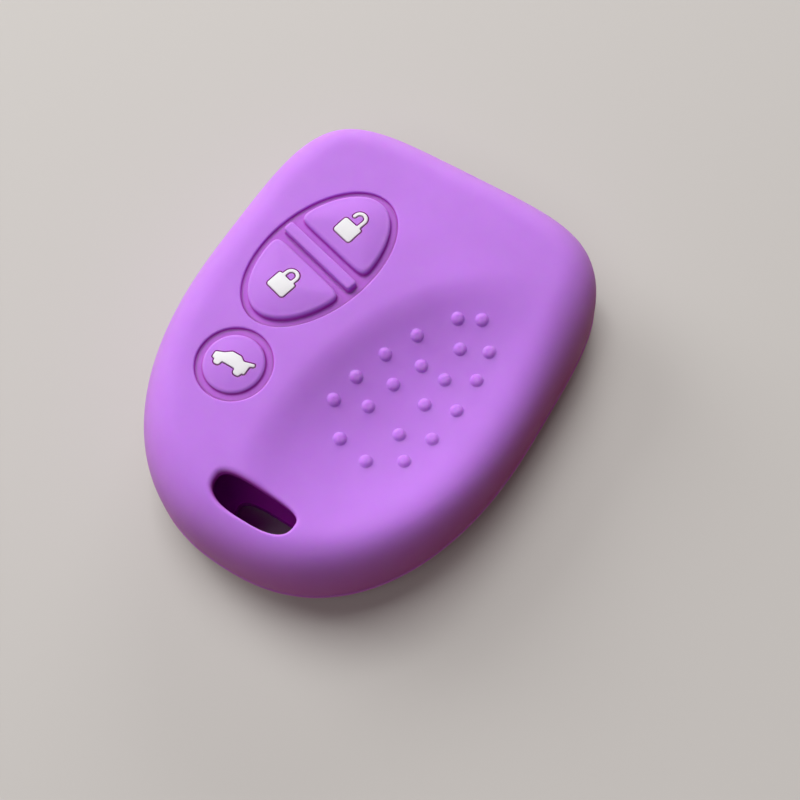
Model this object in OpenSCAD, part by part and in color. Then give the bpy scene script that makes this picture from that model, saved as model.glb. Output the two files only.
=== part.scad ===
// Soft moulded cover for a three-button car key fob.
// Millimetres. The back face lies on z = 0 and the buttons face +Z.
// +Y is the wide end, where the key blade comes out; -Y is the key-ring end.

/* [Overall] */
// Length from the key-ring end to the blade end
cover_len = 62; // [58:1:70]
// Width across the widest line
cover_w = 49.5; // [47:0.5:58]
// Height from the back face to the button face
cover_h = 16.5; // [15:0.5:20]
// Thickness of the moulded skin
wall = 1.6; // [1.2:0.1:2]
// How far the widest line lies from the middle, towards the blade end
widest_y = 3.8; // [0:0.2:6]
// Squareness of the blade end, where 2 is an ellipse
blade_end_square = 4.2; // [3:0.1:5]
// Squareness of the key-ring end, where 2 is an ellipse
ring_end_square = 2.3; // [2:0.1:3]

/* [Side profile] */
// Height of the mould parting line, where the cover is widest
parting_z = 5.1; // [4:0.1:6.5]
// How far the side rounds inward above the parting line
upper_round = 6.7; // [5:0.1:7.5]
// How far the side rounds inward below the parting line
lower_round = 5.4; // [4:0.1:7]
// Squareness of both roundings, where 2 is an ellipse
side_square = 2.3; // [2:0.1:3]

/* [Thumb scoop] */
// Depth of the scoop below the button face
scoop_depth = 3.3; // [2:0.1:4]
// Length of the scoop
scoop_len = 44; // [34:1:50]
// Width of the scoop
scoop_w = 24.5; // [18:0.5:28]
// Middle of the scoop, to the right of the centre line
scoop_x = 11.1; // [9:0.1:13]
// Middle of the scoop, towards the key-ring end
scoop_y = 5.1; // [2:0.1:8]
// Lean of the scoop's long axis, degrees from +X
scoop_lean = 71; // [60:1:85]
// Softness of the scoop's brim, as a share of its depth
scoop_brim_share = 0.25; // [0.1:0.05:0.4]

/* [Grip dots] */
// Diameter of a grip dot
dot_d = 1.65; // [1.2:0.05:2.2]
// Height of a grip dot above the scoop
dot_h = 0.5; // [0.4:0.05:0.8]

/* [Oval button recess] */
// Length of the oval recess
oval_len = 23.7; // [20:0.1:26]
// Width of the oval recess
oval_w = 14.3; // [12:0.1:16]
// Middle of the oval, to the left of the centre line
oval_x = 9.3; // [8.5:0.1:11]
// Middle of the oval, towards the blade end
oval_y = 7; // [6:0.1:9]
// Lean of the oval's long axis, degrees from +Y
oval_lean = 15; // [0:1:20]
// Length of the divider bar between the two pads
bar_len = 12.4; // [9:0.1:13]
// Width of the divider bar
bar_w = 1.5; // [1:0.1:2]
// Corner radius of the divider bar's ends
bar_corner = 0.45; // [0.3:0.05:0.45]
// How far the divider bar stands above the button face
bar_proud = 0.75; // [0.3:0.05:1]

/* [Round button recess] */
// Diameter of the round recess
boot_d = 9.8; // [8:0.1:11]
// Middle of the round recess, to the left of the centre line
boot_x = 10.3; // [9.5:0.1:12]
// Middle of the round recess, towards the key-ring end
boot_y = 10.7; // [9.5:0.1:12]

/* [Buttons] */
// Width of the groove round each pad
groove_w = 1; // [0.8:0.05:1.4]
// Width of the groove between the divider bar and a pad
bar_groove_w = 1.15; // [0.9:0.05:1.6]
// Depth of the groove below the button face
groove_depth = 0.45; // [0.3:0.05:0.6]
// Thickness of the web that carries each pad
web_t = 0.5; // [0.3:0.05:0.6]
// How far the unlock and the lock pad stand above the button face
oval_pad_proud = 1.2; // [0.5:0.05:1.4]
// How far the boot pad stands above the button face
boot_pad_proud = 0.6; // [0.3:0.05:1]
// Rounding of a pad's top edge
pad_round = 0.5; // [0.3:0.05:0.8]
// Rise of the unlock and the lock pad's top from its rounded edge to its middle
oval_pad_dome = 0.55; // [0.1:0.05:0.7]
// Rise of the boot pad's top from its rounded edge to its middle
boot_pad_dome = 0.4; // [0.1:0.05:0.5]
// Free gap between a pad and the web round it
pad_gap = 0.1; // [0.05:0.01:0.15]

/* [Key-ring slot] */
// Length of the key-ring slot
slot_len = 10.9; // [8:0.1:13]
// Width of the key-ring slot in its middle
slot_w = 4.4; // [4.2:0.1:5]
// Middle of the slot, to the right of the centre line
slot_x = 1.5; // [0:0.1:2]
// Distance from the key-ring end to the slot's widest line
slot_from_end = 7.4; // [7.2:0.1:8]
// Share of the slot's width on the key-ring side of its widest line
slot_bow_share = 0.63; // [0.5:0.01:0.7]
// Squareness of the slot's side towards the buttons, where 2 is an ellipse
slot_square = 3.3; // [2.5:0.1:5]
// Squareness of the slot's bowed side, where 2 is an ellipse
slot_bow_square = 2.6; // [2:0.1:4]

/* [Back and blade end] */
// Width of the window in the back, through which the fob goes in
window_w = 34; // [26:1:36]
// Length of the window in the back
window_len = 35; // [28:1:36]
// Middle of the window, towards the blade end
window_y = 4; // [2:0.5:5]
// Squareness of the window, where 2 is an ellipse
window_square = 3.2; // [2.5:0.1:5]
// Width of the slot that the key blade comes out of
blade_slot_w = 13; // [9:0.5:16]
// Height of the slot that the key blade comes out of
blade_slot_h = 5.2; // [4.4:0.1:6]
// Height of the middle of the blade slot above the back face
blade_z = 7.4; // [7:0.1:9]

/* [Hidden] */

// Colours of the moulding, outside and in the grooves
skin_colour = "#be7de8";
web_colour = "#a55fd2";

// Steps round the outline, up each side and across the face
around = 96;
side_steps = 7;
face_steps = 10;

half_w = cover_w / 2;
half_len = cover_len / 2;
face_z = cover_h;
inner_z = cover_h - wall;
web_z = face_z - groove_depth - web_t;
overrun = wall / 2;

// The outline: two halves of different squareness that meet at the widest line
function sign0(v) = v < 0 ? -1 : 1;
function end_reach(v) = v > 0 ? half_len - widest_y : half_len + widest_y;
function end_square(v) = v > 0 ? blade_end_square : ring_end_square;
function super_r(c, s, a, b, n) = pow(pow(abs(c) / a, n) + pow(abs(s) / b, n), -1 / n);

// A point of the outline, moved inward along its normal by inset
function rim_normal(x, y, a, b, n) =
    let (gx = sign0(x) * pow(abs(x) / a, n - 1) / a)
    let (gy = sign0(y) * pow(abs(y) / b, n - 1) / b)
    [gx, gy] / norm([gx, gy]);
function rim(turn, inset) =
    let (c = cos(turn), s = sin(turn), b = end_reach(s), n = end_square(s))
    let (r = super_r(c, s, half_w, b, n))
    let (out = rim_normal(r * c, r * s, half_w, b, n))
    [r * c - inset * out[0], widest_y + r * s - inset * out[1]];

// Depth of the scoop at a place, with a soft brim and a bowl below it
function scoop_fall(p) =
    let (dx = p[0] - scoop_x, dy = p[1] + scoop_y)
    let (u = (dx * cos(scoop_lean) + dy * sin(scoop_lean)) / (scoop_len / 2))
    let (v = (dy * cos(scoop_lean) - dx * sin(scoop_lean)) / (scoop_w / 2))
    let (t = 1 - u * u - v * v, e = scoop_brim_share)
    scoop_depth * (t < -e ? 0 : t > e ? t : (t + e) * (t + e) / (4 * e));
function face_at(p) = face_z - scoop_fall(p);

// One quarter of the side's rounding: share of the inset and share of the height
function round_in(k) = 1 - pow(cos(90 * k / side_steps), 2 / side_square);
function round_up(k) = k == 0 ? 0 : pow(sin(90 * k / side_steps), 2 / side_square);

// Rings of the upper half, from the parting line up and in to the middle of the face
function upper_ring(k, skin) =
    [for (i = [0:around - 1])
        let (p = rim(360 * i / around, skin + (upper_round - skin) * round_in(k)))
        [p[0], p[1], parting_z + (face_at(p) - skin - parting_z) * round_up(k)]];
function face_ring(k, skin) =
    [for (i = [0:around - 1])
        let (edge = rim(360 * i / around, upper_round))
        let (p = [0, widest_y] + (edge - [0, widest_y]) * (1 - k / face_steps))
        [p[0], p[1], face_at(p) - skin]];
function upper_rings(skin) = concat(
    [for (k = [0:side_steps]) upper_ring(k, skin)],
    [for (k = [1:face_steps - 1]) face_ring(k, skin)]
);

// Rings of the lower half, from the parting line down to the flat back
function lower_rings(skin) =
    [for (k = [0:side_steps])
        [for (i = [0:around - 1])
            let (p = rim(360 * i / around, skin + (lower_round - skin) * round_in(k)))
            [p[0], p[1], parting_z - (parting_z - skin) * round_up(k)]]];

// Faces between consecutive rings of n points, seen from outside
function band(a, b, n) = [for (i = [0:n - 1], half = [0, 1])
    let (j = (i + 1) % n)
    half == 0 ? [a + i, b + i, b + j] : [a + i, b + j, a + j]];
function flip(faces) = [for (f = faces) [f[2], f[1], f[0]]];
function fan(a, tip, n) = [for (i = [0:n - 1]) [a + i, tip, a + (i + 1) % n]];
function bands(start, rings, n) = [
    for (k = [0:rings - 2], f = band(start + k * n, start + (k + 1) * n, n)) f];
function flat(rings) = [for (r = rings, p = r) p];
function middle(ring) = [for (q = [0:2]) [for (p = ring) p[q]] * [for (p = ring) 1] / len(ring)];

// A half shell: outer rings and inner rings from the parting line, each closed by a tip
module half_shell(outer, inner, outer_tip, inner_tip, up) {
    n = around;
    rings = len(outer);
    inner_start = rings * n;
    tips = 2 * rings * n;
    faces = concat(
        bands(0, rings, n),
        fan((rings - 1) * n, tips, n),
        flip(bands(inner_start, rings, n)),
        flip(fan(inner_start + (rings - 1) * n, tips + 1, n)),
        flip(band(0, inner_start, n))
    );
    polyhedron(
        points = concat(flat(outer), flat(inner), [outer_tip, inner_tip]),
        faces = up ? faces : flip(faces),
        convexity = 6
    );
}

// A solid through rings that rise from the first to the last, with flat ends
module loft(rings) {
    n = len(rings[0]);
    last = (len(rings) - 1) * n;
    tips = len(rings) * n;
    polyhedron(
        points = concat(flat(rings), [middle(rings[0]), middle(rings[len(rings) - 1])]),
        faces = flip(concat(
            flip(bands(0, len(rings), n)),
            flip(fan(last, tips + 1, n)),
            fan(0, tips, n)
        )),
        convexity = 4
    );
}

// The oval recess's own frame: its long axis along Y
module in_oval() {
    translate([-oval_x, oval_y, 0]) rotate([0, 0, -oval_lean]) children();
}

function oval_outline(a, b) = [for (i = [0:around - 1])
    [a * cos(360 * i / around), b * sin(360 * i / around)]];

// The plan of the upper oval pad, in the oval's frame, grown outward by grow
pad_base = bar_w / 2 + bar_groove_w;
pad_mid = (pad_base + oval_len / 2 - groove_w) / 2;
pad_corner_square = 9;
pad_around = 48;
function pad_r(turn, grow) =
    let (a = oval_w / 2 - groove_w + grow, b = oval_len / 2 - groove_w + grow)
    let (c = cos(turn), s = sin(turn), q = pad_corner_square)
    let (ka = c * c / a / a + s * s / b / b, kb = pad_mid * s / b / b)
    let (kc = pad_mid * pad_mid / b / b - 1)
    let (re = (sqrt(kb * kb - ka * kc) - kb) / ka)
    let (rl = max(0, -s) / (pad_mid - pad_base + grow))
    pow(pow(1 / re, q) + pow(rl, q), -1 / q);
function pad_outline(grow) = [for (i = [0:pad_around - 1])
    let (turn = 360 * i / pad_around, r = pad_r(turn, grow))
    [r * cos(turn), pad_mid + r * sin(turn)]];

// Rings of a button pad with a rounded top edge and a slight dome
round_steps = 3;
dome_steps = 3;
function at_z(outline, z) = [for (p = outline) [p[0], p[1], z]];
function shrink(outline, mid, share) = [for (p = outline) mid + (p - mid) * share];
function round_inset(k) = pad_round * (1 - cos(90 * k / round_steps));
function round_rise(k) = pad_round * sin(90 * k / round_steps);
function pad_edge_z(top, dome) = top - dome - pad_round;
function dome_z(top, dome, share) = top - dome * share * share;
dome_shares = [0.8, 0.55, 0.25];

module oval_pad(side) {
    flat_top = pad_outline(-pad_round);
    top = face_z + oval_pad_proud;
    rings = concat(
        [at_z(pad_outline(0), inner_z)],
        [for (k = [0:round_steps])
            at_z(pad_outline(-round_inset(k)), pad_edge_z(top, oval_pad_dome) + round_rise(k))],
        [for (share = dome_shares)
            at_z(shrink(flat_top, [0, pad_mid], share), dome_z(top, oval_pad_dome, share))]
    );
    in_oval() mirror([0, side < 0 ? 1 : 0, 0]) loft(rings);
}

// Half of the thin web in the oval, with a hole in which its pad moves
module oval_web(side) {
    in_oval() mirror([0, side < 0 ? 1 : 0, 0]) translate([0, 0, web_z])
        linear_extrude(web_t)
            difference() {
                intersection() {
                    polygon(oval_outline(oval_w / 2, oval_len / 2));
                    translate([-oval_w, 0]) square([2 * oval_w, oval_len]);
                }
                polygon(pad_outline(pad_gap));
            }
}

// The key-ring slot: nearly straight towards the buttons, bowed like the cover's end beyond
slot_around = 48;
function slot_reach(s) = slot_w * (s > 0 ? 1 - slot_bow_share : slot_bow_share);
slot_outline = [for (i = [0:slot_around - 1])
    let (c = cos(360 * i / slot_around), s = sin(360 * i / slot_around))
    [c, s] * super_r(c, s, slot_len / 2, slot_reach(s), s > 0 ? slot_square : slot_bow_square)];

module ring_slot() {
    translate([slot_x, slot_from_end - half_len, -overrun])
        linear_extrude(cover_h + 2 * overrun) polygon(slot_outline);
}

// The blade's slot goes straight through the end wall
module blade_slot() {
    translate([-blade_slot_w / 2, half_len - upper_round, blade_z - blade_slot_h / 2])
        cube([blade_slot_w, upper_round + overrun, blade_slot_h]);
}

// Upper half of the moulding: the face, its scoop, the openings for the buttons
module front_shell() {
    mid = [0, widest_y];
    color(skin_colour) difference() {
        half_shell(
            upper_rings(0),
            upper_rings(wall),
            [mid[0], mid[1], face_at(mid)],
            [mid[0], mid[1], face_at(mid) - wall],
            true
        );
        in_oval() translate([0, 0, inner_z - overrun])
            linear_extrude(wall + 2 * overrun) polygon(oval_outline(oval_w / 2, oval_len / 2));
        translate([-boot_x, -boot_y, inner_z - overrun])
            cylinder(d = boot_d, h = wall + 2 * overrun, $fn = 48);
        ring_slot();
        blade_slot();
    }
}

// Lower half of the moulding: the rounded side and the lip round the window
module back_shell() {
    color(skin_colour) difference() {
        half_shell(
            lower_rings(0),
            lower_rings(wall),
            [0, widest_y, 0],
            [0, widest_y, wall],
            false
        );
        translate([0, window_y, -overrun]) linear_extrude(wall + 2 * overrun)
            polygon([for (i = [0:around - 1])
                let (c = cos(360 * i / around), s = sin(360 * i / around))
                [c, s] * super_r(c, s, window_w / 2, window_len / 2, window_square)]);
        ring_slot();
        blade_slot();
    }
}

// Places of the grip dots: shares of the scoop's half length and half width from its middle
dot_place_shares = [
    [0.59, 0.48], [0.69, 0.31], [0.35, 0.61], [0.14, 0.66], [0.49, 0.23],
    [0.60, 0.01], [0.26, 0.35], [-0.07, 0.66], [0.07, 0.38], [0.31, 0.09],
    [0.44, -0.13], [-0.25, 0.61], [-0.12, 0.36], [0.13, 0.02], [0.24, -0.24],
    [-0.36, 0.27], [-0.09, -0.06], [0.03, -0.31], [-0.33, -0.07], [-0.17, -0.31]
];
function scoop_place(share) =
    let (u = share[0] * scoop_len / 2, v = share[1] * scoop_w / 2)
    [scoop_x + u * cos(scoop_lean) - v * sin(scoop_lean),
        v * cos(scoop_lean) + u * sin(scoop_lean) - scoop_y];
dot_r = (dot_d * dot_d / 4 + dot_h * dot_h) / (2 * dot_h);
dot_sink = dot_h / 10;

// The stuff under the button face, which trims what stands on the face
module face_block() {
    loft(concat(
        [at_z(face_ring(0, 0), parting_z)],
        [for (k = [0:face_steps - 1]) face_ring(k, 0)]
    ));
}

// A grip dot is a cap of a ball that stands square to the scoop
module dot_cap(p) {
    step = dot_d / 2;
    tilt_x = (face_at(p + [step, 0]) - face_at(p - [step, 0])) / (2 * step);
    tilt_y = (face_at(p + [0, step]) - face_at(p - [0, step])) / (2 * step);
    translate([p[0], p[1], face_at(p) - dot_sink])
        rotate([atan(tilt_y), -atan(tilt_x), 0])
            intersection() {
                translate([0, 0, dot_h - dot_r]) sphere(r = dot_r, $fn = 24);
                translate([-dot_d, -dot_d, 0]) cube([2 * dot_d, 2 * dot_d, 2 * dot_h]);
            }
}

module grip_dots() {
    color(skin_colour) difference() {
        for (share = dot_place_shares) dot_cap(scoop_place(share));
        face_block();
    }
}

// The divider bar stands on the webs, between the two pads, and has round ends
module divider_bar() {
    reach = bar_len / 2 - bar_corner;
    side = bar_w / 2 - bar_corner;
    color(skin_colour) in_oval() translate([0, 0, face_z - groove_depth])
        linear_extrude(groove_depth + bar_proud)
            union() {
                square([bar_len, 2 * side], center = true);
                square([2 * reach, bar_w], center = true);
                for (x = [-reach, reach], y = [-side, side])
                    translate([x, y]) circle(r = bar_corner, $fn = 32);
            }
}

module unlock_web() {
    color(web_colour) oval_web(1);
}

module lock_web() {
    color(web_colour) oval_web(-1);
}

module boot_web() {
    color(web_colour) translate([-boot_x, -boot_y, web_z]) difference() {
        cylinder(d = boot_d, h = web_t, $fn = 48);
        translate([0, 0, -overrun])
            cylinder(d = boot_d - 2 * groove_w + 2 * pad_gap, h = web_t + 2 * overrun, $fn = 48);
    }
}

module unlock_pad() {
    color(skin_colour) oval_pad(1);
}

module lock_pad() {
    color(skin_colour) oval_pad(-1);
}

module boot_pad() {
    r = boot_d / 2 - groove_w;
    top = face_z + boot_pad_proud;
    color(skin_colour) translate([-boot_x, -boot_y, 0])
        rotate_extrude($fn = 48)
            polygon(concat(
                [[0, inner_z], [r, inner_z]],
                [for (k = [0:round_steps])
                    [r - round_inset(k), pad_edge_z(top, boot_pad_dome) + round_rise(k)]],
                [for (share = dome_shares)
                    [(r - pad_round) * share, dome_z(top, boot_pad_dome, share)]],
                [[0, top]]
            ));
}

front_shell();
back_shell();
grip_dots();
divider_bar();
unlock_web();
lock_web();
boot_web();
unlock_pad();
lock_pad();
boot_pad();
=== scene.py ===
import math

import bmesh
import bpy
import numpy as np
from mathutils import Matrix, Vector
from mathutils.geometry import delaunay_2d_cdt
from mathutils.kdtree import KDTree


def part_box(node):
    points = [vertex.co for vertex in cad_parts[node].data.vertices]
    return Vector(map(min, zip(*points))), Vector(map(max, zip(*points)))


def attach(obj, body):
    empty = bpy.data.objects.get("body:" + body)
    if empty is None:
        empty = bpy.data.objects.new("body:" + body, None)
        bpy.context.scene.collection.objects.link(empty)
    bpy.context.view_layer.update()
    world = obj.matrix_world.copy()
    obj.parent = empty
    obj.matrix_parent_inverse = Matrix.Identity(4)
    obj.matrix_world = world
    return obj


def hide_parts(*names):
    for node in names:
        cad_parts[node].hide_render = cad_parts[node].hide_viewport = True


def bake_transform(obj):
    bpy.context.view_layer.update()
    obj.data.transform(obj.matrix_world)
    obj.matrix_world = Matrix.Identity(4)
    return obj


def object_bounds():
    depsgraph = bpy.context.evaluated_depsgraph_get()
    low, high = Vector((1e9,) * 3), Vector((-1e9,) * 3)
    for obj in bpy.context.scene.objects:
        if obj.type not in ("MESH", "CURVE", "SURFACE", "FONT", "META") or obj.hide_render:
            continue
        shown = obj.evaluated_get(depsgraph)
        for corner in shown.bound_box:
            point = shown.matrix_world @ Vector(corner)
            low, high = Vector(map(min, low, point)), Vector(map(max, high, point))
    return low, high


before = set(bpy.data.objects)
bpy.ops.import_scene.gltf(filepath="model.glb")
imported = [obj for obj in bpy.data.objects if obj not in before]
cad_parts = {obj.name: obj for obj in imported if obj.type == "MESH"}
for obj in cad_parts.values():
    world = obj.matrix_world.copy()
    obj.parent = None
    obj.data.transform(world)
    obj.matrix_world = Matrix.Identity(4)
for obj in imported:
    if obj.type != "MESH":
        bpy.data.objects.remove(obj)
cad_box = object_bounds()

# The skin: one soft rubber moulding with a rounded side, a face with a thumb scoop, and a flat
# back with a window. It is pressed in a two-part mould, which leaves a fine line round the side
# where the halves met, and its open rims come out softly rounded. All sizes are in millimetres.
mm = 0.001


def across(node, corner, axis):
    """A corner of a node's box along one axis, in millimetres."""
    return round(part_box(node)[corner][axis] / mm, 2)


half_w = round((cad_box[1].x - cad_box[0].x) / 2 / mm, 2)
half_len = round((cad_box[1].y - cad_box[0].y) / 2 / mm, 2)
face_z = across("front_shell", 1, 2)
parting_z = across("back_shell", 1, 2)
inner_z = across("boot_pad", 0, 2)
wall = face_z - inner_z

widest_y = 3.8
blade_end_square = 4.2
ring_end_square = 2.3
upper_round = 6.7
lower_round = 5.4
side_square = 2.3

scoop_mid = np.array([11.1, -5.1])
scoop_half_len = 22
scoop_half_w = 12.25
scoop_depth = 3.3
scoop_lean = math.radians(71)
scoop_brim_share = 0.25

around = 288
outline_around = 5760
flash_out = 0.18
flash_half_h = 0.12


def outline(turn, inset=0.0):
    """Points of the outline at these turns round the widest line's middle, moved inward."""
    c, s = np.cos(turn), np.sin(turn)
    reach = np.where(s > 0, half_len - widest_y, half_len + widest_y)
    square = np.where(s > 0, blade_end_square, ring_end_square)
    r = ((abs(c) / half_w) ** square + (abs(s) / reach) ** square) ** (-1 / square)
    x, y = r * c, r * s
    out_x = np.sign(x) * (abs(x) / half_w) ** (square - 1) / half_w
    out_y = np.sign(y) * (abs(y) / reach) ** (square - 1) / reach
    size = np.hypot(out_x, out_y)
    return np.stack([x - inset * out_x / size, widest_y + y - inset * out_y / size], -1)


def turns(count):
    """Even turns all the way round."""
    return np.arange(count) * 2 * math.pi / count


outline_tree = KDTree(outline_around)
for number, place in enumerate(outline(turns(outline_around))):
    outline_tree.insert((*place, 0), number)
outline_tree.balance()


def inset_of(plan):
    """How far these places lie inside the outline."""
    return np.array([outline_tree.find((x, y, 0))[2] for x, y in plan])


def scoop_fall(plan):
    """Depth of the thumb scoop: a bowl with a soft brim."""
    off = np.asarray(plan) - scoop_mid
    c, s = math.cos(scoop_lean), math.sin(scoop_lean)
    u = (off[..., 0] * c + off[..., 1] * s) / scoop_half_len
    v = (off[..., 1] * c - off[..., 0] * s) / scoop_half_w
    t = 1 - u * u - v * v
    brim = scoop_brim_share
    soft = (np.clip(t, -brim, brim) + brim) ** 2 / (4 * brim)
    return scoop_depth * np.where(t > brim, t, soft)


def side_rise(inset, skin, reach):
    """Share of the side's height reached at this inset."""
    t = np.clip(1 - (inset - skin) / (reach - skin), 0, 1)
    return (1 - t ** side_square) ** (1 / side_square)


def face_height(plan, skin=0.0, inset=None):
    """Height of the face, or of the ceiling a skin's thickness below it."""
    inset = inset_of(plan) if inset is None else inset
    top = face_z - skin - scoop_fall(plan)
    return parting_z + (top - parting_z) * side_rise(inset, skin, upper_round)


def back_height(plan, skin=0.0, inset=None):
    """Height of the back, or of its inner side."""
    inset = inset_of(plan) if inset is None else inset
    return parting_z - (parting_z - skin) * side_rise(inset, skin, lower_round)


def raised(plan, height):
    """Plan points with a height each, or one for all."""
    return np.column_stack([plan, np.broadcast_to(height, len(plan))])


def within(plan, loops):
    """Whether places lie inside an odd number of the loops."""
    inside = np.zeros(len(plan), bool)
    for loop in loops:
        for (ax, ay), (bx, by) in zip(loop, np.roll(loop, -1, 0)):
            if ay != by:
                spans = (plan[:, 1] < ay) != (plan[:, 1] < by)
                inside ^= spans & (plan[:, 0] < ax + (plan[:, 1] - ay) * (bx - ax) / (by - ay))
    return inside


same_place = 1e-9
sliver = 1e-6
sharp_from = math.radians(50)


class Moulding:
    """The points and faces of one moulded piece."""

    def __init__(self):
        self.points = []
        self.faces = []

    def add(self, places):
        """Adds points and returns their numbers."""
        first = len(self.points)
        self.points.extend(tuple(p) for p in places)
        return list(range(first, len(self.points)))

    def strip(self, a, b):
        """Four-sided faces between two closed loops of as many points."""
        n = len(a)
        for i in range(n):
            j = (i + 1) % n
            self.faces.append((a[i], a[j], b[j], b[i]))

    def strips(self, loops):
        """Strips from each closed loop to the next."""
        for a, b in zip(loops, loops[1:]):
            self.strip(a, b)

    def sheet(self, loops, spots=(), axes=(0, 1)):
        """Triangles inside an odd number of the loops, over loose points as well."""
        used = [i for loop in loops for i in loop] + list(spots)
        flat = np.array([self.points[i] for i in used])[:, list(axes)]
        edges, outlines = [], []
        for loop in loops:
            start = len(edges)
            edges += [(start + k, start + (k + 1) % len(loop)) for k in range(len(loop))]
            outlines.append(flat[start:start + len(loop)])
        corner_places, _, triangles, origins, _, _ = delaunay_2d_cdt(
            [Vector(p) for p in flat], edges, [], 0, same_place)
        corners = np.array([used[origin[0]] for origin in origins])
        triangles = np.array([list(t) for t in triangles])
        places = np.array([list(v) for v in corner_places])[triangles]
        (ax, ay), (bx, by) = (places[:, 1] - places[:, 0]).T, (places[:, 2] - places[:, 0]).T
        wide = abs(ax * by - ay * bx) > sliver
        kept = triangles[wide & within(places.mean(1), outlines)]
        self.faces += [tuple(int(c) for c in corners[t]) for t in kept]

    def make(self, name, *materials, tinted=(), shade_shares=()):
        """Makes the closed, smooth object. The groups of faces in tinted take the second material
        and the ones after it, and shade_shares holds each point's share of the painted groove
        shade."""
        mesh = bpy.data.meshes.new(name)
        mesh.from_pydata([Vector(p) * mm for p in self.points], [], self.faces)
        for material in materials:
            mesh.materials.append(material)
        for number, group in enumerate(tinted):
            for i in group:
                mesh.polygons[i].material_index = number + 1
        if len(shade_shares):
            layer = mesh.attributes.new("painted_groove_shade", "FLOAT", "POINT")
            layer.data.foreach_set("value", np.asarray(shade_shares, np.float32))
        work = bmesh.new()
        work.from_mesh(mesh)
        bmesh.ops.delete(work, geom=[v for v in work.verts if not v.link_faces], context="VERTS")
        bmesh.ops.recalc_face_normals(work, faces=work.faces)
        work.to_mesh(mesh)
        work.free()
        mesh.shade_smooth()
        mesh.set_sharp_from_angle(angle=sharp_from)
        piece = bpy.data.objects.new(name, mesh)
        bpy.context.scene.collection.objects.link(piece)
        return piece


def rounding(size, steps):
    """Offsets along two sides of a quarter round: (how far out, how far down) at each step."""
    angles = np.linspace(0, math.pi / 2, steps + 1)
    return [(size * (1 - math.sin(a)), size * (1 - math.cos(a))) for a in angles]


# The openings in the skin: an oval and a round recess for the buttons, a slot for the key ring
# through the face and the back, a window in the back for the remote, and a slot in the wide end
# for its blade. All are moulded with the skin, and their rims are softly rounded.
oval_mid = np.array([-9.3, 7])
oval_floor = across("lock_web", 1, 2)
oval_half_w = 7.15
oval_half_len = 11.85
oval_lean = math.radians(-15)
oval_around = 240
boot_mid = np.array([
    (across("boot_web", 0, 0) + across("boot_web", 1, 0)) / 2,
    (across("boot_web", 0, 1) + across("boot_web", 1, 1)) / 2,
])
boot_r = (across("boot_web", 1, 0) - across("boot_web", 0, 0)) / 2
boot_floor = across("boot_web", 1, 2)
boot_around = 120
slot_mid = np.array([1.5, 7.4 - half_len])
slot_half_len = 5.45
slot_up = 1.63
slot_bow = 2.5
slot_square = 3.3
slot_bow_square = 2.6
slot_around = 144
window_mid = np.array([0, 4])
window_half_w = 17
window_half_len = 17.5
window_square = 3.2
window_around = 200
blade_half_w = 6.5
blade_half_h = 2.6
blade_z = 7.4
blade_corner = 0.9

groove_rim_round = 0.2
groove_foot_round = 0.22
slot_rim_round = 0.6
slot_rim_change = 0.3
slot_roundest_way = (-0.5, 0.87)
inner_rim_round = 0.3
back_rim_round = 0.5
join_up, join_down = 3.2, 3.0
inner_join = 3.6
rows_up, rows_down = 22, 14
inner_rows_up, inner_rows_down = 12, 8
halvings = 40
mesh_gap_share = 0.7
blade_patch_half = 17
blade_patch_gap = 0.25
blade_patch_margin = 0.5
blade_rim_steps = 4
groove_steps = 5
rim_steps = 6
inner_rim_steps = 3
box_corner_points = 7
box_step = 0.6


def from_oval(local):
    """Places in the oval's own frame, its long axis along Y, moved to the cover's frame."""
    c, s = math.cos(oval_lean), math.sin(oval_lean)
    return np.asarray(local) @ np.array([[c, s], [-s, c]]) + oval_mid


def to_oval(plan):
    """Places of the cover's frame in the oval's own."""
    c, s = math.cos(oval_lean), math.sin(oval_lean)
    return (np.asarray(plan) - oval_mid) @ np.array([[c, -s], [s, c]])


def ellipse(grow):
    """The oval recess in its own frame, grown outward."""
    a = turns(oval_around)
    return np.column_stack([(oval_half_w + grow) * np.cos(a), (oval_half_len + grow) * np.sin(a)])


def rounded_box(half_x, half_y, corner, grow):
    """A rectangle's outline with rounded corners and points along its sides, grown outward."""
    hubs = np.array([(1, 1), (-1, 1), (-1, -1), (1, -1)]) * [half_x - corner, half_y - corner]
    ways = np.arange(4)[:, None] * math.pi / 2 + np.linspace(0, math.pi / 2, box_corner_points)
    arcs = hubs[:, None, :] + (corner + grow) * np.stack([np.cos(ways), np.sin(ways)], -1)
    points = []
    for k, arc in enumerate(arcs):
        points += list(arc)
        run = 2 * (half_x - corner if k % 2 == 0 else half_y - corner)
        count = max(2, round(run / box_step))
        following = arcs[(k + 1) % 4][0]
        points += [arc[-1] + (following - arc[-1]) * i / count for i in range(1, count)]
    return np.array(points)


def oval_rim(grow):
    return from_oval(ellipse(grow))


def boot_rim(grow):
    a = turns(boot_around)
    return boot_mid + (boot_r + grow) * np.column_stack([np.cos(a), np.sin(a)])


def slot_rounding():
    """The slot's rim is rounder towards the buttons and the left, and tighter on its bowed side."""
    a = turns(slot_around)
    way_x, way_y = slot_roundest_way
    return slot_rim_round + slot_rim_change * (way_x * np.cos(a) + way_y * np.sin(a))


def slot_rim(grow):
    """The key-ring slot: nearly straight towards the buttons, bowed like the cover's end beyond."""
    a = turns(slot_around)
    c, s = np.cos(a), np.sin(a)
    reach = np.where(s > 0, slot_up, slot_bow)
    square = np.where(s > 0, slot_square, slot_bow_square)
    r = (abs(c / slot_half_len) ** square + abs(s / reach) ** square) ** (-1 / square)
    x, y = r * c, r * s
    out_x = np.sign(x) * abs(x / slot_half_len) ** (square - 1) / slot_half_len
    out_y = np.sign(y) * abs(y / reach) ** (square - 1) / reach
    size = np.hypot(out_x, out_y)
    return slot_mid + np.column_stack([x + grow * out_x / size, y + grow * out_y / size])


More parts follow.
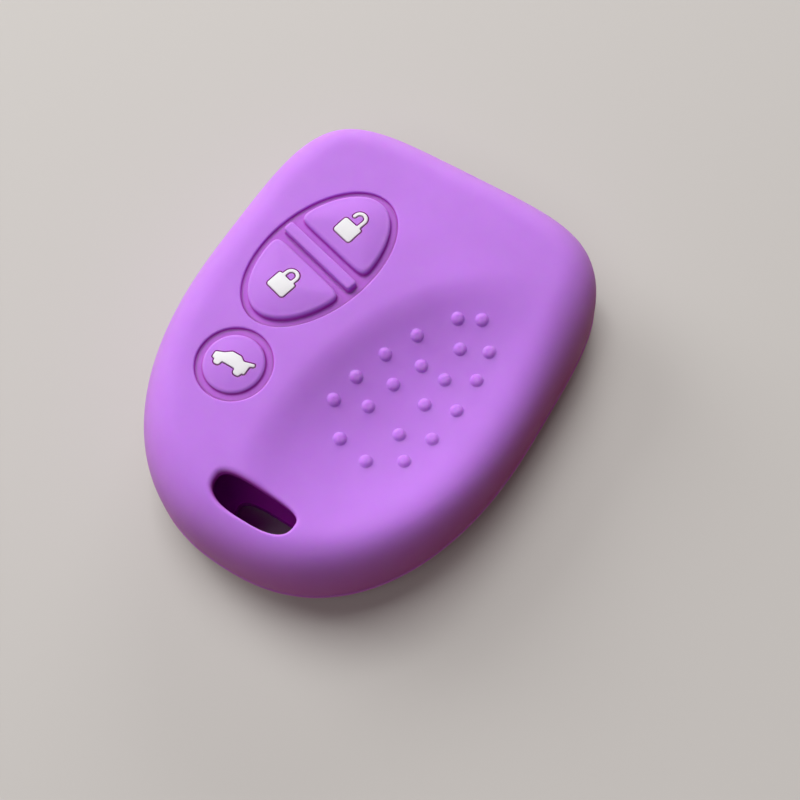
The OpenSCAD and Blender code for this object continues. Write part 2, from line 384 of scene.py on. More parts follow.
def window_rim(grow):
    a = turns(window_around)
    c, s = np.cos(a), np.sin(a)
    r = (abs(c / (window_half_w + grow)) ** window_square
         + abs(s / (window_half_len + grow)) ** window_square) ** (-1 / window_square)
    return window_mid + np.column_stack([r * c, r * s])


def clear_of_oval(plan, gap):
    off = to_oval(plan)
    return (off[:, 0] / (oval_half_w + gap)) ** 2 + (off[:, 1] / (oval_half_len + gap)) ** 2 > 1


def clear_of_boot(plan, gap):
    return np.hypot(*(plan - boot_mid).T) > boot_r + gap


def clear_of_slot(plan, gap):
    return ~within(plan, [slot_rim(gap)])


def clear_of_window(plan, gap):
    off = abs(plan - window_mid) / [window_half_w + gap, window_half_len + gap]
    return (off ** window_square).sum(1) > 1


def even_mesh(half_x, half_y, step):
    """Places in even triangles about the middle."""
    rows = np.arange(-half_y, half_y, step * math.sqrt(3) / 2)
    return np.array([(x + step / 2 * (k % 2), y)
                     for k, y in enumerate(rows) for x in np.arange(-half_x, half_x, step)])


def field(step, join, reach, tests):
    """Loose points over a face: rings where its side rounds over, then an even mesh of points."""
    rings = np.arange(join + step, reach + 2 * step, step)
    ringed = np.concatenate([outline(turns(around), inset) for inset in rings])
    mesh = even_mesh(half_w, half_len, step)
    mesh = mesh[within(mesh, [outline(turns(around))])]
    mesh = mesh[inset_of(mesh) > rings[-1] + mesh_gap_share * step]
    spots = np.concatenate([ringed, mesh])
    for test, gap in tests:
        spots = spots[test(spots, gap)]
    return spots


def side_rings(reach, join, steps, skin):
    """Insets of the rings from the parting line to where the face or the back takes over."""
    end = math.acos((1 - (join - skin) / (reach - skin)) ** (side_square / 2))
    angles = np.linspace(0, end, steps + 1)[1:]
    return skin + (reach - skin) * (1 - np.cos(angles) ** (2 / side_square))


def side_y(x, z, skin):
    """Where the wide end's wall lies at this place across and this height."""
    up = z > parting_z
    reach = np.where(up, upper_round, lower_round)
    tall = np.where(up, face_z - skin - parting_z, parting_z - skin)
    t = (1 - (abs(z - parting_z) / tall) ** side_square) ** (1 / side_square)
    inset = skin + (reach - skin) * (1 - t)
    low, high = np.full(len(x), math.pi / 4), np.full(len(x), 3 * math.pi / 4)
    for _ in range(halvings):
        middle = (low + high) / 2
        right_of = outline(middle, inset)[:, 0] > x
        low, high = np.where(right_of, middle, low), np.where(right_of, high, middle)
    return outline(low, inset)[:, 1]


def blade_loop(grow):
    """The blade slot's rounded outline: places across and heights."""
    return rounded_box(blade_half_w, blade_half_h, blade_corner, grow) + [0, blade_z]


def clear_of_blade(x, z, gap):
    return (abs(x) > blade_half_w + gap) | (abs(z - blade_z) > blade_half_h + gap)


skin_mesh = Moulding()


def side_round_blade(rings, low_row, high_row, rim_round):
    """The side between these rings, with a patch of the wide end left open for the blade's slot.
    Returns the patch's border and the points inside it that are clear of the slot."""
    first, last = around // 4 - blade_patch_half, around // 4 + blade_patch_half
    for row in range(len(rings) - 1):
        a, b = rings[row], rings[row + 1]
        for i in range(around):
            if low_row <= row < high_row and first <= i < last:
                continue
            j = (i + 1) % around
            skin_mesh.faces.append((a[i], a[j], b[j], b[i]))
    border = [rings[low_row][i] for i in range(first, last + 1)]
    border += [rings[row][last] for row in range(low_row + 1, high_row)]
    border += [rings[high_row][i] for i in range(last, first - 1, -1)]
    border += [rings[row][first] for row in range(high_row - 1, low_row, -1)]
    spots = np.array([i for row in rings[low_row + 1:high_row] for i in row[first + 1:last]])
    places = np.array([skin_mesh.points[i] for i in spots])
    clear = clear_of_blade(places[:, 0], places[:, 2], rim_round + blade_patch_gap)
    return border, list(spots[clear])


def shell_rings(skin, up_join, down_join, up_steps, down_steps, flash):
    """Rings of the outer or the inner side, from the back up to the face."""
    rings = []
    for inset in side_rings(lower_round, down_join, down_steps, skin)[::-1]:
        plan = outline(turns(around), inset)
        rings.append(skin_mesh.add(raised(plan, back_height(plan, skin, inset))))
    if flash:
        for out, z in ((0, -flash_half_h), (flash_out, 0), (0, flash_half_h)):
            rings.append(skin_mesh.add(raised(outline(turns(around), skin - out), parting_z + z)))
    else:
        rings.append(skin_mesh.add(raised(outline(turns(around), skin), parting_z)))
    for inset in side_rings(upper_round, up_join, up_steps, skin):
        plan = outline(turns(around), inset)
        rings.append(skin_mesh.add(raised(plan, face_height(plan, skin, inset))))
    return rings


outer = shell_rings(0, join_up, join_down, rows_up, rows_down, True)
inner = shell_rings(wall, inner_join, inner_join, inner_rows_up, inner_rows_down, False)
blade_rims = []
for rings, skin, rim_round in ((outer, 0.0, back_rim_round), (inner, wall, inner_rim_round)):
    heights = [skin_mesh.points[ring[around // 4]][2] for ring in rings]
    reach = blade_half_h + rim_round + blade_patch_margin
    low_row = max(k for k, z in enumerate(heights) if z < blade_z - reach)
    high_row = min(k for k, z in enumerate(heights) if z > blade_z + reach)
    border, spots = side_round_blade(rings, low_row, high_row, rim_round)
    loops = []
    for out, down in rounding(rim_round, blade_rim_steps):
        x, z = blade_loop(out).T
        into = down if skin == 0 else -down
        loops.append(skin_mesh.add(np.column_stack([x, side_y(x, z, skin) - into, z])))
    skin_mesh.sheet([border, loops[0]], spots, axes=(0, 2))
    skin_mesh.strips(loops)
    blade_rims.append(loops[-1])
skin_mesh.strip(*blade_rims)


def recess(rim, floor_z):
    """A recess's rounded rim, wall and hollow foot, down to the ledge where its web starts."""
    loops = [skin_mesh.add(raised(rim(out), face_z - down))
             for out, down in rounding(groove_rim_round, groove_steps)]
    loops += [skin_mesh.add(raised(rim(-down), floor_z + out))
              for out, down in rounding(groove_foot_round, groove_steps)]
    loops.append(skin_mesh.add(raised(rim(-groove_foot_round), inner_z)))
    skin_mesh.strips(loops)
    return loops[0], loops[-1]


def through_hole(rim, height, outer_round):
    """A hole through the skin with both its rims rounded. Returns its outer and inner loop."""
    inward = -1 if height is face_height else 1
    loops = []
    for out, down in rounding(outer_round, rim_steps):
        plan = rim(out)
        loops.append(skin_mesh.add(raised(plan, height(plan) + inward * down)))
    for out, down in rounding(inner_rim_round, inner_rim_steps)[::-1]:
        plan = rim(out)
        loops.append(skin_mesh.add(raised(plan, height(plan, wall) - inward * down)))
    skin_mesh.strips(loops)
    return loops[0], loops[-1]


oval_loops = recess(oval_rim, oval_floor)
boot_loops = recess(boot_rim, boot_floor)
slot_face = through_hole(slot_rim, face_height, slot_rounding())
slot_back = through_hole(slot_rim, back_height, back_rim_round)
window = through_hole(window_rim, back_height, back_rim_round)

# The grip dots: twenty low round studs in the thumb scoop, moulded with the skin. Each stands
# square to the bowl, with a slightly flattened top, and flares softly into it.
dot_place_shares = [
    (0.59, 0.48), (0.69, 0.31), (0.35, 0.61), (0.14, 0.66), (0.49, 0.23),
    (0.60, 0.01), (0.26, 0.35), (-0.07, 0.66), (0.07, 0.38), (0.31, 0.09),
    (0.44, -0.13), (-0.25, 0.61), (-0.12, 0.36), (0.13, 0.02), (0.24, -0.24),
    (-0.36, 0.27), (-0.09, -0.06), (0.03, -0.31), (-0.33, -0.07), (-0.17, -0.31),
]
dot_r = 0.825
dot_h = 0.5
dot_flare = 0.08
dot_square = 3.4
dot_foot_share = 1.2
dot_top_share = 0.06
dot_rings = 23
dot_around = 40
lean_c, lean_s = math.cos(scoop_lean), math.sin(scoop_lean)
dot_mids = scoop_mid + (np.array(dot_place_shares) * [scoop_half_len, scoop_half_w]
                        @ [[lean_c, lean_s], [-lean_s, lean_c]])


def dot_height(share):
    """Height over the bowl at this share of the dot's radius."""
    cap = dot_h * (1 - share ** dot_square)
    return (cap + np.sqrt(cap ** 2 + dot_flare ** 2)) / 2


def raise_dot(middle):
    """Moulds a dot on the skin. Returns its foot."""
    step = dot_r / 2
    slope = [(scoop_fall(middle - d) - scoop_fall(middle + d)) / (2 * step)
             for d in (np.array([step, 0]), np.array([0, step]))]
    up = np.array([-slope[0], -slope[1], 1])
    up /= np.linalg.norm(up)
    ring = np.column_stack([np.cos(turns(dot_around)), np.sin(turns(dot_around))])
    foot = dot_height(dot_foot_share)
    loops = []
    for share in np.linspace(dot_foot_share, dot_top_share, dot_rings):
        plan = middle + share * dot_r * ring
        height = (dot_height(share) - foot) * dot_h / (dot_h - foot)
        loops.append(skin_mesh.add(raised(plan, face_height(plan)) + height * up))
    skin_mesh.strips(loops)
    top = skin_mesh.add([np.append(middle, face_height(middle[None])[0]) + dot_h * up])[0]
    last = loops[-1]
    skin_mesh.faces += [(last[i - 1], last[i], top) for i in range(dot_around)]
    return loops[0]


def clear_of_dots(plan, gap):
    away = np.hypot(*(plan[:, None, :] - dot_mids[None, :, :]).transpose(2, 0, 1)).min(1)
    return away > dot_foot_share * dot_r + gap


def close_up(loops, height, skin, step, join, reach, tests):
    """Closes the face, the back or the inner side of either with an even sheet."""
    spots = field(step, join, reach, tests)
    skin_mesh.sheet(loops, skin_mesh.add(raised(spots, height(spots, skin))))


dot_feet = [raise_dot(middle) for middle in dot_mids]
face_step, back_step, inner_step = 0.5, 0.8, 0.9
face_gap, dot_gap, rim_gap, inner_gap = 0.3, 0.25, 0.4, 0.5
close_up([outer[-1], oval_loops[0], boot_loops[0], slot_face[0]] + dot_feet,
         face_height, 0, face_step, join_up, upper_round,
         [(clear_of_oval, groove_rim_round + face_gap),
          (clear_of_boot, groove_rim_round + face_gap),
          (clear_of_slot, slot_rounding() + face_gap),
          (clear_of_dots, dot_gap)])
close_up([inner[-1], oval_loops[1], boot_loops[1], slot_face[1]],
         face_height, wall, inner_step, inner_join, upper_round,
         [(clear_of_oval, inner_gap),
          (clear_of_boot, inner_gap),
          (clear_of_slot, inner_rim_round + rim_gap)])
close_up([outer[0], window[0], slot_back[0]],
         back_height, 0, back_step, join_down, lower_round,
         [(clear_of_window, back_rim_round + rim_gap),
          (clear_of_slot, back_rim_round + rim_gap)])
close_up([inner[0], window[1], slot_back[1]],
         back_height, wall, inner_step, inner_join, lower_round,
         [(clear_of_window, inner_rim_round + inner_gap),
          (clear_of_slot, inner_rim_round + rim_gap)])


# The skin's rubber: dyed through and left matte by the mould, with a fine grain from the mould's
# blasted steel and a faint clouding from the pigment. Low in the grooves and down the key-ring slot
# its colour darkens to a painted shade, and the hidden inside faces take a brighter magenta, a
# painted glow of light coming through the skin.
skin_colour = (0.53, 0.225, 0.78, 1)
groove_shade_colour = (0.44, 0.055, 0.5, 1)
# Painted glow: the hidden inside faces take a brighter magenta for light coming through the skin.
inside_glow_colour = (0.74, 0.05, 0.8, 1)
light_reach = (0.5, 0.25, 0.45)
sheen = 0.06
noise_span = (0.3, 0.7)
roughness_span = (0.44, 0.56)
cloud_scale = 0.09
gloss_scale = 0.6
grain_scale = 5.5
grain_height = 0.05


def rubber(name, colour, deep=None, cloud=0.04, grain=0.10, soft=1.0):
    """A matte, slightly cloudy moulded rubber. Where the painted_groove_shade attribute says so,
    its colour turns to deep, a painted shade.
    """
    material = bpy.data.materials.new(name)
    material.use_nodes = True
    nodes, links = material.node_tree.nodes, material.node_tree.links
    shader = nodes["Principled BSDF"]
    shader.inputs["Subsurface Weight"].default_value = soft
    shader.inputs["Subsurface Radius"].default_value = light_reach
    shader.inputs["Subsurface Scale"].default_value = 1.0 * mm
    shader.inputs["Specular IOR Level"].default_value = sheen
    place = nodes.new("ShaderNodeTexCoord")

    def noise(scale, detail):
        texture = nodes.new("ShaderNodeTexNoise")
        texture.inputs["Scale"].default_value = scale / mm
        texture.inputs["Detail"].default_value = detail
        links.new(place.outputs["Object"], texture.inputs["Vector"])
        return texture.outputs["Fac"]

    def spread(value, low, high):
        """The usual span of a noise, stretched to this one."""
        node = nodes.new("ShaderNodeMapRange")
        for k, number in enumerate((*noise_span, low, high)):
            node.inputs[k + 1].default_value = number
        links.new(value, node.inputs[0])
        return node.outputs[0]

    tone = spread(noise(cloud_scale, detail=4), 1 - cloud, 1 + cloud)
    tint = nodes.new("ShaderNodeVectorMath")
    tint.operation = "SCALE"
    tint.inputs[0].default_value = colour[:3]
    links.new(tone, tint.inputs["Scale"])
    # deep is the darker colour of the painted shade in grooves, mixed in by the attribute.
    if deep:
        share, blend = nodes.new("ShaderNodeAttribute"), nodes.new("ShaderNodeMix")
        share.attribute_name = "painted_groove_shade"
        blend.data_type = "RGBA"
        share_in, colour_in, deep_in, tone_out = 0, 6, 7, 2
        blend.inputs[colour_in].default_value = colour
        blend.inputs[deep_in].default_value = deep
        links.new(share.outputs["Fac"], blend.inputs[share_in])
        links.new(blend.outputs[tone_out], tint.inputs[0])
    links.new(tint.outputs[0], shader.inputs["Base Color"])
    links.new(spread(noise(gloss_scale, detail=3), *roughness_span), shader.inputs["Roughness"])
    bump = nodes.new("ShaderNodeBump")
    bump.inputs["Strength"].default_value = grain
    bump.inputs["Distance"].default_value = grain_height * mm
    links.new(noise(grain_scale, detail=3), bump.inputs["Height"])
    links.new(bump.outputs["Normal"], shader.inputs["Normal"])
    return material


cavity_margin = 0.05
wall_shade_starts, wall_shade_run = 0.3, 0.3
foot_starts, foot_run, foot_fade = 0.85, 0.15, 0.6
slot_shade_starts, slot_shade_run = 0.1, 0.5


def in_cavity(plan, z):
    """Whether places lie on the inner side of the skin."""
    deep = inset_of(plan) > wall - cavity_margin
    under = z < face_height(plan, wall) + cavity_margin
    return deep & under & (z > back_height(plan, wall) - cavity_margin)


def painted_shade_at(depth):
    """Share of the painted shade at a share of a groove's depth: most of it low on the wall."""
    down_wall = np.clip((depth - wall_shade_starts) / wall_shade_run, 0, 1)
    at_foot = np.clip((depth - foot_starts) / foot_run, 0, 1)
    return down_wall * (1 - foot_fade * at_foot)


places = np.array(skin_mesh.points)
plan, heights = places[:, :2], places[:, 2]
depth = np.minimum(face_height(plan) - heights, heights - back_height(plan))
# Painted shade: points low in the recess grooves take a share of the darker groove colour by depth.
in_grooves = ~(clear_of_oval(plan, groove_rim_round) & clear_of_boot(plan, groove_rim_round))
skin_shade_shares = np.where(in_grooves, painted_shade_at(depth / (face_z - oval_floor)), 0)
# Painted shade: down the key-ring slot the walls darken towards the groove colour with depth.
in_slot = ~clear_of_slot(plan, slot_rounding())
slot_shade_shares = np.clip((depth - slot_shade_starts) / slot_shade_run, 0, 1)
skin_shade_shares = np.where(in_slot, slot_shade_shares, skin_shade_shares)
hidden = in_cavity(plan, heights)
inside_faces = [i for i, face in enumerate(skin_mesh.faces) if all(hidden[k] for k in face)]
skin_rubber = rubber("violet_rubber", skin_colour, groove_shade_colour)
inside_glow_rubber = rubber("violet_rubber_inside_painted_glow", inside_glow_colour)
skin_piece = skin_mesh.make("moulded_skin", skin_rubber, inside_glow_rubber,
                            tinted=[inside_faces], shade_shares=skin_shade_shares)
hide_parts("front_shell", "back_shell", "grip_dots")
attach(skin_piece, "skin")

# The divider bar: a raised bar between the two oval pads, one with the skin. Its top edges are
# rounded and its foot runs out softly onto the webs.
bar_half_len = 6.2
bar_half_w = 0.75
bar_corner = 0.45
bar_top = across("divider_bar", 1, 2)
bar_round = 0.32
bar_foot = 0.2
bar_steps = 6


def bar_outline(grow):
    """The bar seen from above, grown outward."""
    return from_oval(rounded_box(bar_half_len, bar_half_w, bar_corner, grow))


bar = Moulding()
bar_loops = [bar.add(raised(bar_outline(bar_foot), oval_floor - bar_foot))]
bar_loops += [bar.add(raised(bar_outline(out), oval_floor + down))
              for out, down in rounding(bar_foot, groove_steps)]
bar_loops += [bar.add(raised(bar_outline(-down), bar_top - out))
              for out, down in rounding(bar_round, bar_steps)]
bar.strips(bar_loops)
bar.sheet([bar_loops[0]])
bar.sheet([bar_loops[-1]])
heights = np.array(bar.points)[:, 2]
# Painted shade: the bar's sides darken lower down, towards the webs.
bar_piece = bar.make("divider_bar_moulded", skin_rubber,
                     shade_shares=painted_shade_at((bar_top - heights) / (bar_top - oval_floor)))
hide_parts("divider_bar")
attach(bar_piece, "skin")

# The three buttons: each is a solid rubber pad on a thin web that closes its recess. The web is
# moulded with the skin; each place's share of the pad's travel is worked out, but nothing in the
# scene bends by it. A sunk sign in the pad's top is filled with white rubber, which stands a
# little proud.
groove_w = 1
bar_groove_w = 1.15
pad_round = 0.5
oval_pad_dome = 0.55
boot_pad_dome = 0.4
pad_foot = 0.25
web_thick = across("boot_web", 1, 2) - across("boot_web", 0, 2)
pad_square = 9
pad_base = bar_half_w + bar_groove_w
pad_mid = (pad_base + oval_half_len - groove_w) / 2
pad_around = 168
under_bar_points = 37
pad_foot_steps, pad_top_steps, sign_steps = 4, 7, 3
web_step, web_gap = 0.35, 0.2
under_step, under_gap = 0.5, 0.3
top_step, top_gap = 0.32, 0.16
sign_y = 5.6
sign_groove_w = 0.17
sign_depth = 0.28
sign_bury = 0.03
sign_proud = 0.08
sign_round = 0.08
sign_step = 0.1
sign_groove_shade_colour = (0.3, 0.03, 0.32, 1)
legend_colour = (0.8, 0.81, 0.83, 1)


def oval_pad_reach(turn, grow):
    """From the oval pad's middle to its edge: the oval's curve, and a straight side to the bar."""
    c, s = np.cos(turn), np.sin(turn)
    a, b = oval_half_w - groove_w + grow, oval_half_len - groove_w + grow
    ka, kb = (c / a) ** 2 + (s / b) ** 2, pad_mid * s / b ** 2
    to_curve = (np.sqrt(kb ** 2 - ka * ((pad_mid / b) ** 2 - 1)) - kb) / ka
    to_bar = np.maximum(0, -s) / (pad_mid - pad_base + grow)
    return (to_curve ** -pad_square + to_bar ** pad_square) ** (-1 / pad_square)


def boot_pad_reach(turn, grow):
    """The round pad's radius, grown outward."""
    return np.full(np.shape(turn), boot_r - groove_w + grow)


def nearest(places, others):
    """Distance from each place to the nearest of the others."""
    gaps = places[:, None, :] - others[None, :, :]
    return np.sqrt((gaps ** 2).sum(-1)).min(1)


def grown(loop, by):
    """A loop moved to its right-hand side: outward for one that runs anticlockwise."""
    along = np.roll(loop, -1, 0) - np.roll(loop, 1, 0)
    along /= np.linalg.norm(along, axis=1)[:, None]
    return loop + by * np.column_stack([along[:, 1], -along[:, 0]])


def filled_in(points):
    """A sign's closed outline with points added along its straight runs."""
    full = []
    for here, on in zip(points, np.roll(points, -1, 0)):
        count = max(1, round(np.linalg.norm(on - here) / sign_step))
        full += [here + (on - here) * i / count for i in range(count)]
    return np.array(full)


def rounded(*corners):
    """A closed outline through corners (x, y, radius), each turned with an arc of that radius."""
    places = np.array([c[:2] for c in corners], float)
    points = []
    for k, (x, y, radius) in enumerate(corners):
        back, on = places[k - 1] - places[k], places[(k + 1) % len(places)] - places[k]
        back, on = back / np.linalg.norm(back), on / np.linalg.norm(on)
        half = math.acos(back @ on) / 2
        hub = places[k] + (back + on) / np.linalg.norm(back + on) * radius / math.sin(half)
        start = places[k] + back * radius / math.tan(half) - hub
        stop = places[k] + on * radius / math.tan(half) - hub
        first = math.atan2(start[1], start[0])
        swing = (math.atan2(stop[1], stop[0]) - first + math.pi) % (2 * math.pi) - math.pi
        count = max(1, math.ceil(abs(swing) * radius / sign_step))
        for i in range(count + 1):
            a = first + swing * i / count
            point = hub + radius * np.array([math.cos(a), math.sin(a)])
            if not points or np.linalg.norm(point - points[-1]) > sign_step / 10:
                points.append(point)
    return filled_in(np.array(points))


class Button:
    """One pad with its web. Its loops lie in its recess's own frame, which outward() leaves."""

    def __init__(self, outward, inward, border, held_y, middle, flip, reach, floor_z, top_z, rise,
                 signs):
        self.outward, self.inward, self.border, self.held_y = outward, inward, border, held_y
        self.middle, self.flip, self.reach = np.array(middle), flip, reach
        self.floor_z, self.top_z, self.rise, self.signs = floor_z, top_z, rise, signs

    def loop(self, grow):
        """The pad's outline, grown outward."""
        a = turns(pad_around)
        r = self.reach(a, grow)
        return self.middle + np.column_stack([r * np.cos(a), self.flip * r * np.sin(a)])

    def dome(self, local):
        """Height of the pad's slightly domed top."""
        off = (local - self.middle) * [1, self.flip]
        edge = self.reach(np.arctan2(off[:, 1], off[:, 0]), -pad_round)
        return self.top_z - self.rise * np.minimum(np.hypot(*off.T) / edge, 1) ** 2

    def spots(self, step, gap, loops):
        """Loose places within an odd number of the loops, clear of their edges."""
        places = even_mesh(oval_half_w, oval_half_len / 2, step) + self.middle
        places = places[within(places, loops)]
        return places[nearest(places, np.concatenate(loops)) > gap]

    def mould(self):
        """Web, foot, rounded pad and the sunk sign, as one closed moulding."""
        body = Moulding()

        def add(local, z):
            return body.add(raised(self.outward(local), z))

        web_under = self.floor_z - web_thick
        on_top, under = add(self.border, self.floor_z), add(self.border, web_under)
        body.strip(on_top, under)
        rises = [add(self.loop(out), self.floor_z + down)
                 for out, down in rounding(pad_foot, pad_foot_steps)]
        rises += [add(self.loop(-down), self.top_z - self.rise - out)
                  for out, down in rounding(pad_round, pad_top_steps)]
        body.strips(rises)
        web = self.spots(web_step, web_gap, [self.border, self.loop(pad_foot)])
        body.sheet([on_top, rises[0]], add(web, self.floor_z))
        plunger = [add(self.loop(0), web_under), add(self.loop(0), inner_z)]
        web = self.spots(under_step, under_gap, [self.border, self.loop(0)])
        body.sheet([under, plunger[0]], add(web, web_under))
        body.strips(plunger)
        body.sheet([plunger[1]])

        edges = [grown(sign, sign_groove_w) for sign in self.signs]
        beds = [grown(sign, sign_groove_w / 2) for sign in self.signs]
        edge_rims = [add(edge, self.dome(edge)) for edge in edges]
        bed_rims = [add(bed, self.dome(bed) - sign_depth) for bed in beds]
        top = self.spots(top_step, top_gap, [self.loop(-pad_round)] + edges)
        body.sheet([rises[-1]] + edge_rims, add(top, self.dome(top)))
        untinted = len(body.faces)
        for edge_rim, bed_rim in zip(edge_rims, bed_rims):
            body.strip(edge_rim, bed_rim)
        body.sheet(bed_rims)
        return body, range(untinted, len(body.faces))

    def fill(self):
        """The white fill of the sunk sign, with softly rounded edges."""
        body = Moulding()
        rims = []
        for sign in self.signs:
            loops = [(0, -sign_depth - sign_bury)]
            loops += [(-down, sign_proud - out) for out, down in rounding(sign_round, sign_steps)]
            loops = [(grown(sign, by), rise) for by, rise in loops]
            rims.append([body.add(raised(self.outward(loop), self.dome(loop) + rise))
                         for loop, rise in loops])
            body.strips(rims[-1])
        body.sheet([rim[0] for rim in rims])
        body.sheet([rim[-1] for rim in rims])
        return body

    def travel_shares(self, plan):
        """Share of the pad's travel at each place: all of it on the pad, none at the web's edge."""
        local = self.inward(plan)
        foot = self.loop(pad_foot)
        beside = np.where(within(local, [foot]), 0, nearest(local, foot))
        to_edge = nearest(local, self.border)
        if self.held_y:
            to_edge = np.minimum(to_edge, np.maximum(self.flip * local[:, 1] - self.held_y, 0))
        share = to_edge / np.maximum(to_edge + beside, sliver)
        return share * share * (3 - 2 * share)


def half_oval(flip):
    """Half of the oval recess at its foot, closed by the line under the divider bar."""
    curve = ellipse(-groove_foot_round)[:oval_around // 2 + 1]
    reach = curve[0][0]
    line = np.linspace(-reach, reach, under_bar_points)[1:-1]
    return np.concatenate([curve, np.column_stack([line, np.zeros(len(line))])]) * [1, flip]


padlock_body = ((-1.45, -1.95, 0.35), (1.45, -1.95, 0.35), (1.45, 0.35, 0.22), (1, 0.35, 0.18))
closed_padlock = [
    rounded(*padlock_body, (1, 1.95, 0.999), (-1, 1.95, 0.999), (-1, 0.35, 0.18),
            (-1.45, 0.35, 0.22)),
    rounded((-0.55, 0.35, 0.2), (-0.55, 1.5, 0.549), (0.55, 1.5, 0.549), (0.55, 0.35, 0.2)),
]
open_padlock = [
    rounded(*padlock_body, (1, 2.4, 0.999), (-1, 2.4, 0.999), (-1, 1.0, 0.2), (-0.55, 1.0, 0.2),
            (-0.55, 1.95, 0.549), (0.55, 1.95, 0.549), (0.55, 0.35, 0.18), (-1.45, 0.35, 0.35)),
]
car_with_open_boot = [
    rounded((-2.65, -0.7, 0.18), (-2.25, -0.7, 0.18), (-2.15, -1.27, 0.36), (-1.3, -1.27, 0.36),
            (-1.2, -0.62, 0.18), (0.7, -0.62, 0.18), (0.8, -1.27, 0.36), (1.65, -1.27, 0.36),
            (1.75, -0.7, 0.18), (2.1, -0.7, 0.14), (2.1, 0.5, 0.2), (2.62, 0.78, 0.12),
            (2.48, 1.12, 0.12), (1.15, 0.68, 0.2), (0.5, 1.1, 0.3), (-0.75, 1.1, 0.4),
            (-1.6, 0.5, 0.4), (-2.7, 0.12, 0.25)),
]


def oval_button(name, flip, signs):
    """A button in the oval recess: on the unlock side of the bar, or flipped to its other side."""
    return Button(from_oval, to_oval, half_oval(flip), bar_half_w, (0, flip * pad_mid), flip,
                  oval_pad_reach, oval_floor, across(name + "_pad", 1, 2), oval_pad_dome,
                  [sign + (0, flip * sign_y) for sign in signs])


buttons = {
    "unlock": oval_button("unlock", 1, open_padlock),
    "lock": oval_button("lock", -1, closed_padlock),
    "boot": Button(lambda local: local + boot_mid, lambda plan: plan - boot_mid,
                   boot_rim(-groove_foot_round) - boot_mid, 0, (0, 0), 1, boot_pad_reach,
                   boot_floor, across("boot_pad", 1, 2), boot_pad_dome, car_with_open_boot),
}
under_web_margin = 0.01
# Painted shade: the narrow groove round each sign is coloured dark violet.
sign_groove_shade_rubber = rubber("violet_rubber_painted_shade_in_sign_grooves", sign_groove_shade_colour)
white_rubber = rubber("white_rubber", legend_colour, cloud=0.015, grain=0.05, soft=0.05)
for name, button in buttons.items():
    body, sunk_faces = button.mould()
    edge_z = button.top_z - button.rise
    heights = np.array(body.points)[:, 2]
    under_web = heights < button.floor_z - web_thick + under_web_margin
    inside_faces = [i for i, face in enumerate(body.faces) if all(under_web[k] for k in face)]
    # Painted shade: the pad walls darken lower down towards the web, the sign's groove takes a
    # darker painted shade, and the faces under the web take the inside's painted glow.
    piece = body.make(name + "_button", skin_rubber, sign_groove_shade_rubber, inside_glow_rubber,
                      tinted=[sunk_faces, inside_faces],
                      shade_shares=painted_shade_at((edge_z - heights) / (edge_z - button.floor_z)))
    places = np.array([v.co for v in piece.data.vertices]) / mm
    shares = button.travel_shares(places[:, :2])
    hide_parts(name + "_web", name + "_pad")
    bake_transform(piece)
    sign = button.fill().make(name + "_sign", white_rubber)
    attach(sign, name + "_key")

# The stage: a plain pale sheet of paper under the cover, four soft lamps, most of them above it or
# to its left, and a faint warm light all round. The sheet and the backdrop are pale to the eye, and
# throw less light on the cover than they show.
floor_half = 600
floor_gap = 0.01
paper_colour = (0.56, 0.55, 0.52, 1)
paper_bounce = (0.28, 0.04, 0.07, 1)


def seen_or_thrown(nodes, links, seen, thrown):
    """One shader for the eye, mirrors and glass, another for the light thrown on matte things."""
    ray, mix = nodes.new("ShaderNodeLightPath"), nodes.new("ShaderNodeMixShader")
    share = ray.outputs["Is Camera Ray"]
    for kind in ("Is Glossy Ray", "Is Transmission Ray"):
        either = nodes.new("ShaderNodeMath")
        either.operation = "MAXIMUM"
        links.new(share, either.inputs[0])
        links.new(ray.outputs[kind], either.inputs[1])
        share = either.outputs[0]
    links.new(share, mix.inputs[0])
    links.new(thrown.outputs[0], mix.inputs[1])
    links.new(seen.outputs[0], mix.inputs[2])
    return mix.outputs[0]


floor_mesh = bpy.data.meshes.new("floor")
floor_mesh.from_pydata([(x * floor_half * mm, y * floor_half * mm, -floor_gap * mm)
                        for x, y in ((-1, -1), (1, -1), (1, 1), (-1, 1))], [], [(0, 1, 2, 3)])
floor = bpy.data.objects.new("floor", floor_mesh)
bpy.context.scene.collection.objects.link(floor)
paper = bpy.data.materials.new("pale_paper")
paper.use_nodes = True
nodes, links = paper.node_tree.nodes, paper.node_tree.links
nodes.clear()
shown, thrown = nodes.new("ShaderNodeBsdfDiffuse"), nodes.new("ShaderNodeBsdfDiffuse")
shown.inputs["Color"].default_value = paper_colour
thrown.inputs["Color"].default_value = paper_bounce
links.new(seen_or_thrown(nodes, links, shown, thrown),
          nodes.new("ShaderNodeOutputMaterial").inputs["Surface"])
floor_mesh.materials.append(paper)

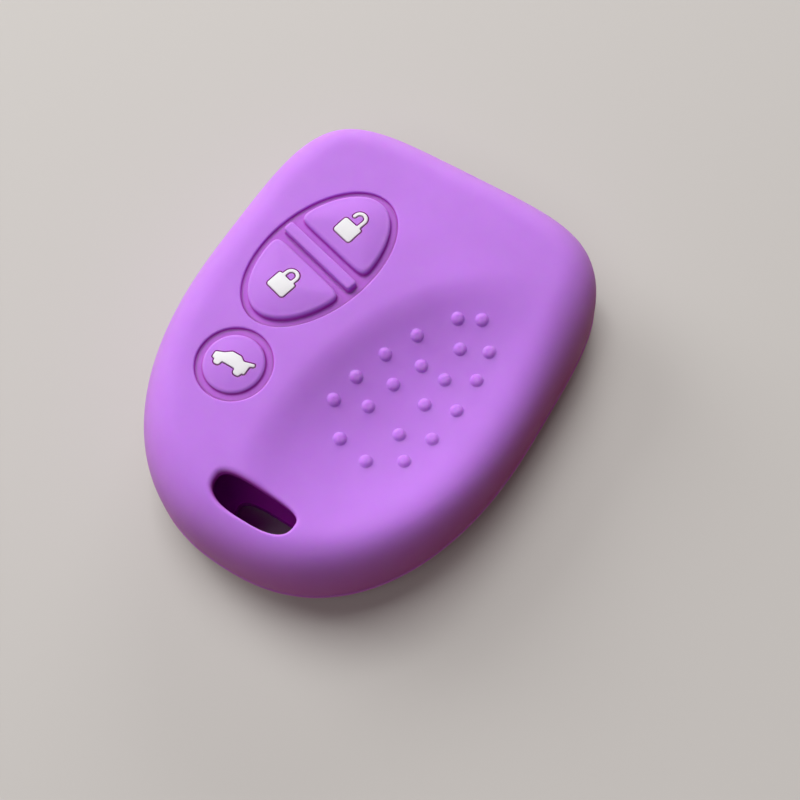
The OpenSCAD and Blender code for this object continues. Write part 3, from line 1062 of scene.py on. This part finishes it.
# Each lamp: its turn from the X axis and its lift in degrees, its width, and its power in watts.
lamps = {
    "high": (140, 66, 500, 5.3),
    "left": (175, 30, 540, 3.9),
    "far": (112, 16, 500, 2.8),
    "near": (275, 62, 540, 1.5),
}
lamp_far = 900
sky_colour = (1, 0.2, 0.35, 1)
sky_strength = 0.05
backdrop_colour = (0.58, 0.57, 0.55, 1)

for name, (turned, lifted, width, power) in lamps.items():
    light = bpy.data.lights.new(name, "AREA")
    light.size = width * mm
    light.energy = power
    turned, lifted = math.radians(turned), math.radians(lifted)
    way = Vector((math.cos(turned) * math.cos(lifted), math.sin(turned) * math.cos(lifted),
                  math.sin(lifted)))
    lamp = bpy.data.objects.new(name, light)
    lamp.location = way * lamp_far * mm
    lamp.rotation_euler = way.to_track_quat("Z", "Y").to_euler()
    bpy.context.scene.collection.objects.link(lamp)
world = bpy.data.worlds.new("studio")
world.use_nodes = True
nodes, links = world.node_tree.nodes, world.node_tree.links
around_light, backdrop = nodes["Background"], nodes.new("ShaderNodeBackground")
around_light.inputs["Color"].default_value = sky_colour
around_light.inputs["Strength"].default_value = sky_strength
backdrop.inputs["Color"].default_value = backdrop_colour
links.new(seen_or_thrown(nodes, links, backdrop, around_light),
          nodes["World Output"].inputs["Surface"])
bpy.context.scene.world = world
bpy.context.scene.view_settings.view_transform = "Standard"

# The camera: above the ring end and a little to the right, where the buttons, the scoop and the
# key-ring slot all show.
camera_raised = math.radians(69.062)
camera_round = math.radians(35.104)
camera_roll = math.radians(3.838)
camera_far = 131.188
camera_target = Vector((5.938, 0.842, 0))
camera_lens = 42.75
camera_sensor = 36
camera_sees_from = 1

camera = bpy.data.cameras.new("camera")
camera.lens = camera_lens
camera.sensor_width = camera_sensor
camera.clip_start = camera_sees_from * mm
viewer = bpy.data.objects.new("camera", camera)
back = Vector((math.sin(camera_round) * math.cos(camera_raised),
               -math.cos(camera_round) * math.cos(camera_raised), math.sin(camera_raised)))
right = Vector((math.cos(camera_round), math.sin(camera_round), 0))
up = back.cross(right)
turn = Matrix((right, up, back)).transposed().to_4x4() @ Matrix.Rotation(-camera_roll, 4, "Z")
viewer.matrix_world = Matrix.Translation((camera_target + back * camera_far) * mm) @ turn
bpy.context.scene.collection.objects.link(viewer)
bpy.context.scene.camera = viewer
